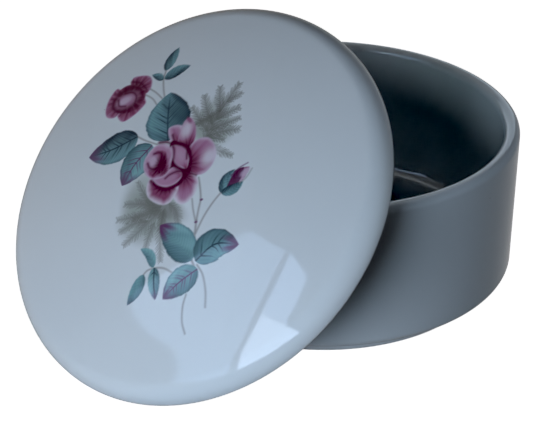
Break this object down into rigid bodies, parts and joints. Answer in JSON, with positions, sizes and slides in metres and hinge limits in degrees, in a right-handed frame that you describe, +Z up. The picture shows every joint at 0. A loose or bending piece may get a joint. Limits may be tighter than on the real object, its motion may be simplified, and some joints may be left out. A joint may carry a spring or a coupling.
{
  "type": "trinket box",
  "caption": "Round straight-sided porcelain box on a foot ring, with a loose domed lid leaning on its front and a floral spray painted on the lid.",
  "frame": {"origin": "under the middle of the whole object, box and leaning lid together, on the table", "axes": "+Z up from the table; +Y from the lid towards the box, along the longest extent; +X across the lid"},
  "size_m": [0.1026, 0.134, 0.073],
  "materials": {
    "box_porcelain": "clear gloss glaze over white porcelain, matt unglazed foot ring",
    "lid_porcelain": "clear gloss glaze over white porcelain, printed flower spray on the dome"
  },
  "bodies": {
    "box": {"box_body": "box_porcelain"},
    "lid": {"lid": "lid_porcelain"}
  },
  "joints": [
    {"name": "lid_lift", "type": "slide", "parent": "box", "child": "lid", "axis": [0, 0, 1], "range_m": [0, 0.06]}
  ]
}
